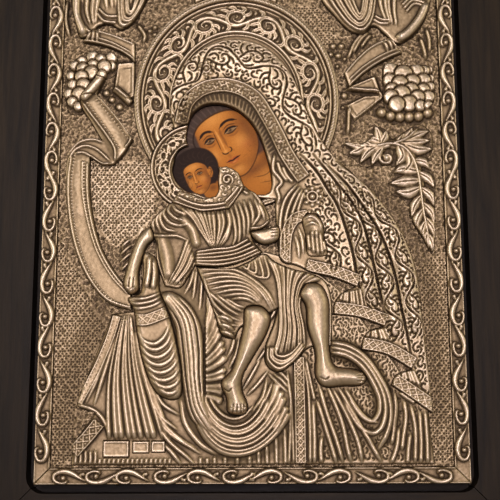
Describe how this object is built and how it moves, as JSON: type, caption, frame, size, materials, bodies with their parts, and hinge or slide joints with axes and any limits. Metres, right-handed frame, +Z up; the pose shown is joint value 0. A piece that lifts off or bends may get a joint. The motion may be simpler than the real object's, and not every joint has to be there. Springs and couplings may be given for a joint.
{
  "type": "framed icon with silver cover",
  "caption": "Raised silver cover with windows over a painted wooden icon panel, set in a deep dark wood surround with a swinging hanging ring at the back.",
  "frame": {"origin": "middle of the underside of the bottom rail, halfway through the depth of the wood", "axes": "+X to the viewer's right, -Y out of the front, +Y to the wall, +Z up"},
  "size_m": [0.24, 0.0322, 0.32],
  "materials": {
    "silver": "raised and chased silver, dark patina in the hollows, polished on the ridges",
    "dark_wood": "dark stained hardwood, satin varnish",
    "limewood": "planed bare limewood",
    "tempera": "egg tempera on gesso, varnished",
    "hardboard": "plain hardboard",
    "brass": "dull brass",
    "steel": "zinc plated"
  },
  "bodies": {
    "oklad": {"frame_bottom_rail": "dark_wood", "frame_top_rail": "dark_wood", "frame_left_rail": "dark_wood", "frame_right_rail": "dark_wood", "mitre_spline_lower_left": "limewood", "mitre_spline_lower_right": "limewood", "mitre_spline_upper_left": "limewood", "mitre_spline_upper_right": "limewood", "panel_screw_1": "steel", "panel_screw_2": "steel", "panel_screw_3": "steel", "panel_screw_4": "steel", "back_board_screw_1": "brass", "back_board_screw_2": "brass", "back_board_screw_3": "brass", "back_board_screw_4": "brass", "hanger_screw_1": "brass", "hanger_screw_2": "brass", "back_board": "hardboard", "hanger_plate": "brass", "icon_panel": "limewood", "painted_gesso": "tempera", "skirt_nail_1": "silver", "skirt_nail_2": "silver", "skirt_nail_3": "silver", "skirt_nail_4": "silver", "skirt_nail_5": "silver", "skirt_nail_6": "silver", "ground_sheet": "silver", "border_bottom": "silver", "border_right": "silver", "border_top": "silver", "border_left": "silver", "assay_plate_1": "silver", "assay_plate_2": "silver", "assay_plate_3": "silver", "mother_right_sleeve": "silver", "mother_left_hand": "silver", "child_right_arm": "silver", "child_left_arm": "silver", "child_right_leg": "silver", "child_left_leg": "silver", "child_collar": "silver", "child_tunic": "silver", "child_lap_drapery": "silver", "long_scroll": "silver", "child_halo": "silver", "mother_mantle": "silver", "mother_robe": "silver", "crown": "silver", "mother_halo": "silver", "angel_left_scroll": "silver", "angel_right_scroll": "silver", "angel_left": "silver", "angel_right": "silver", "cloud_left": "silver", "cloud_right": "silver", "acanthus_spray": "silver"},
    "ring": {"hanger_ring": "brass"}
  },
  "joints": [
    {"name": "hanger_ring_swing", "type": "hinge", "parent": "oklad", "child": "ring", "pos_m": [0, 0.00865, 0.298], "axis": [1, 0, 0], "range_deg": [0, 180]}
  ]
}
